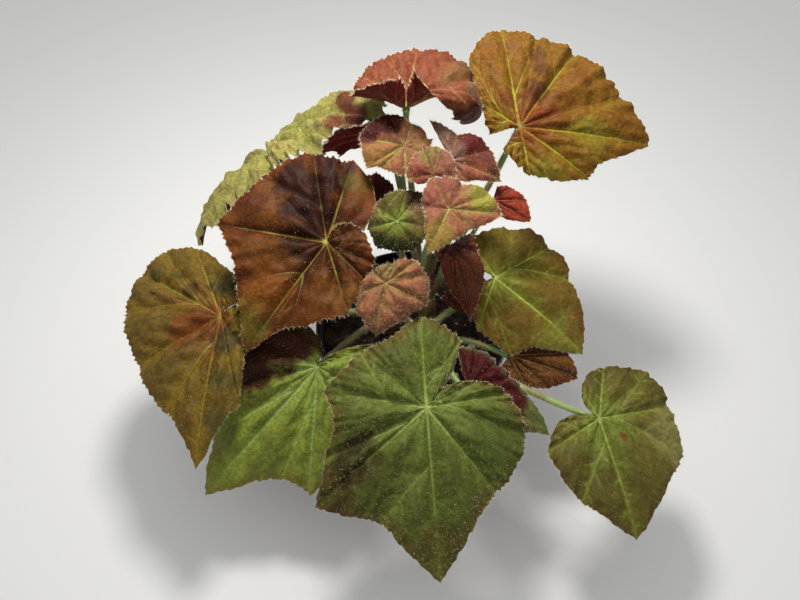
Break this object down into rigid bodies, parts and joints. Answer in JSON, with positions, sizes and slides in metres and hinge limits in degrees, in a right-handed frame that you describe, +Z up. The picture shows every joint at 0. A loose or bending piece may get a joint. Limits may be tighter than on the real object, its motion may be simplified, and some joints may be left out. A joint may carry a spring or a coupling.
{
  "type": "potted begonia",
  "caption": "Begonia with hairy lobed toothed leaves in green, olive, red-brown and pink on arching stalks, in a plain round nursery pot.",
  "frame": {"origin": "centre of the underside of the pot", "axes": "+Z up; +Y to the back of the plant as pictured; +X to its right"},
  "size_m": [0.3183, 0.2919, 0.2309],
  "materials": {
    "green_leaf": "hairy green leaf, rough",
    "red_leaf": "hairy red-brown leaf, rough",
    "olive_leaf": "hairy olive to golden leaf, rough",
    "pink_leaf": "hairy young pink-brown leaf, rough",
    "stem": "hairy pale green stem and leaf stalk",
    "potting_mix": "dark damp potting mix",
    "black_plastic": "black moulded plastic"
  },
  "bodies": {
    "root": {"leaf_front": "green_leaf", "leaf_front_left": "green_leaf", "leaf_centre_red": "red_leaf", "leaf_far_left": "olive_leaf", "leaf_back_left": "olive_leaf", "leaf_top_cupped": "pink_leaf", "leaf_top_pink": "pink_leaf", "leaf_top_arched": "red_leaf", "leaf_crown_right": "pink_leaf", "leaf_crown_folded": "pink_leaf", "leaf_crown_centre": "pink_leaf", "leaf_small_red": "red_leaf", "leaf_small_green": "olive_leaf", "leaf_young_pink": "pink_leaf", "leaf_narrow_brown": "red_leaf", "leaf_right_olive": "olive_leaf", "leaf_right_brown": "red_leaf", "leaf_far_right": "olive_leaf", "leaf_under_crimson": "red_leaf", "leaf_under_bud": "red_leaf", "leaf_back_right_gold": "olive_leaf", "leaf_crown_back": "red_leaf", "pot": "black_plastic", "soil": "potting_mix", "stems_front": "stem", "stems_left": "stem", "stems_back": "stem"}
  },
  "joints": []
}
